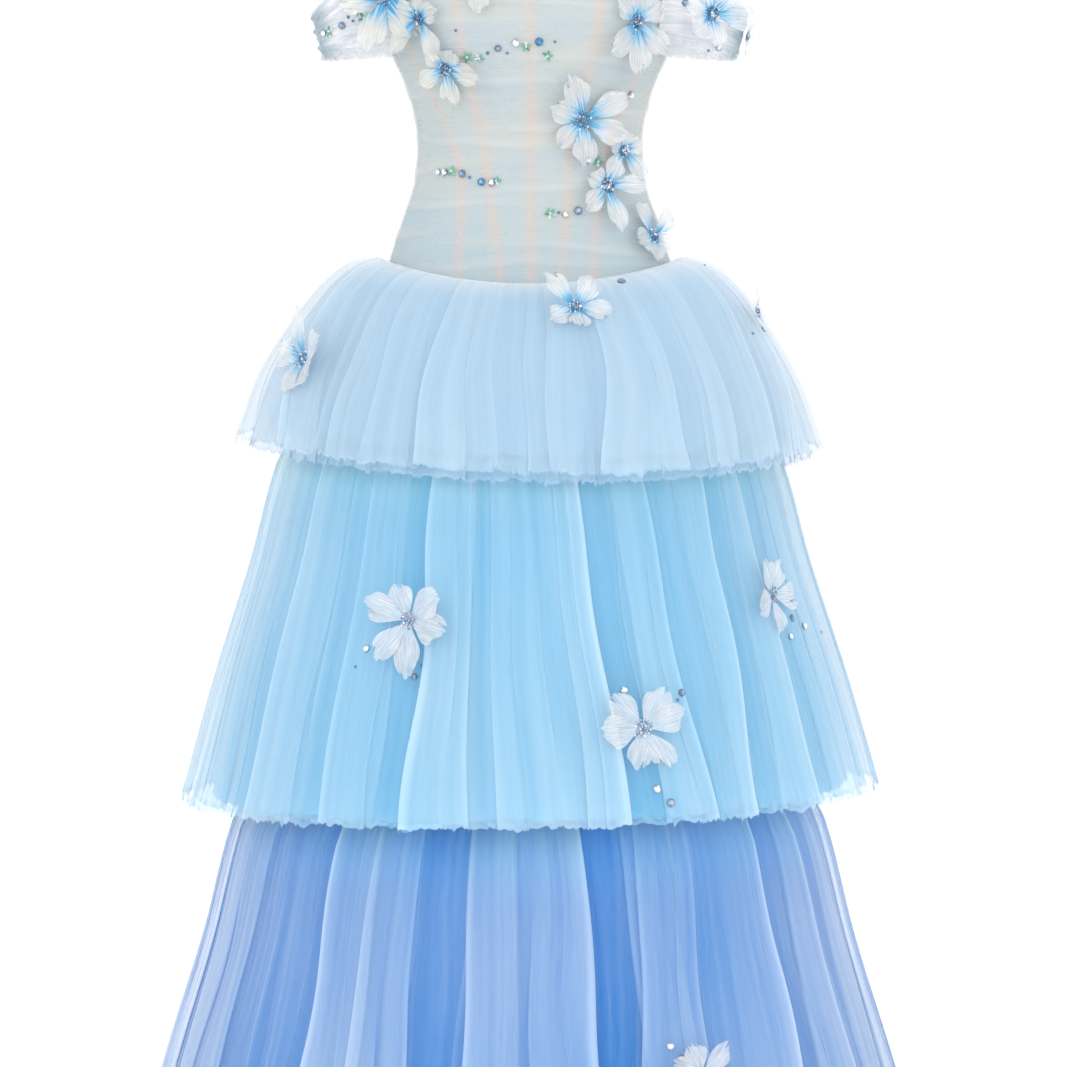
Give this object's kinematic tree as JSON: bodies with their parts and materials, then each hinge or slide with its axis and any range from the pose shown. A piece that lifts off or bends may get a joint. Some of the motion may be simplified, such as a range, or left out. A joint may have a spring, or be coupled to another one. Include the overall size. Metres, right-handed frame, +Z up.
{
  "type": "tiered tulle gown",
  "caption": "Floor-length gown of gathered tulle tiers shading from pale ice blue to deep sky blue, with a boned off-the-shoulder bodice and flower appliques.",
  "frame": {"origin": "centre of the waist, where the bodice grips the wearer", "axes": "+Z up along the body, -Y towards the front of the dress, +X towards the viewer's right when it is seen from the front"},
  "size_m": [0.887, 0.8026, 1.3663],
  "materials": {
    "bodice_tulle": "sheer pale green-grey tulle draped over ice blue cloth and peach bones",
    "sleeve_tulle": "crinkled white-blue tulle",
    "tier_1_tulle": "soft pale blue tulle in many sheer layers",
    "tier_2_tulle": "soft clear sky blue tulle in many sheer layers",
    "tier_3_tulle": "soft periwinkle blue tulle in many sheer layers",
    "lining_cloth": "matt woven foundation cloth",
    "petal_cloth": "stiffened white petals airbrushed blue at the heart"
  },
  "bodies": {
    "root": {"bodice_back_left": "bodice_tulle", "bodice_back_right": "bodice_tulle", "bodice_front": "bodice_tulle", "bodice_side_front_left": "bodice_tulle", "bodice_side_front_right": "bodice_tulle", "bodice_side_left": "bodice_tulle", "bodice_side_right": "bodice_tulle", "flower_back_left": "petal_cloth", "flower_back_right": "petal_cloth", "flower_bust_left": "petal_cloth", "flower_bust_right": "petal_cloth", "flower_cuff_right": "petal_cloth", "flower_hip_right": "petal_cloth", "flower_neck_front": "petal_cloth", "flower_neck_left": "petal_cloth", "flower_rib_left": "petal_cloth", "flower_seam_right": "petal_cloth", "flower_side_right": "petal_cloth", "flower_sleeve_right": "petal_cloth", "flower_tier_1_back": "petal_cloth", "flower_tier_1_front": "petal_cloth", "flower_tier_1_left": "petal_cloth", "flower_tier_1_right": "petal_cloth", "flower_tier_2_back": "petal_cloth", "flower_tier_2_front": "petal_cloth", "flower_tier_2_left": "petal_cloth", "flower_tier_2_right": "petal_cloth", "flower_tier_3_back": "petal_cloth", "flower_tier_3_front": "petal_cloth", "flower_waist_right": "petal_cloth", "sleeve_left": "sleeve_tulle", "sleeve_right": "sleeve_tulle", "tier_1_back": "tier_1_tulle", "tier_1_front": "tier_1_tulle", "tier_2_back": "tier_2_tulle", "tier_2_front": "tier_2_tulle", "tier_3_back": "tier_3_tulle", "tier_3_front": "tier_3_tulle", "underskirt_back": "lining_cloth", "underskirt_front": "lining_cloth"}
  },
  "joints": []
}
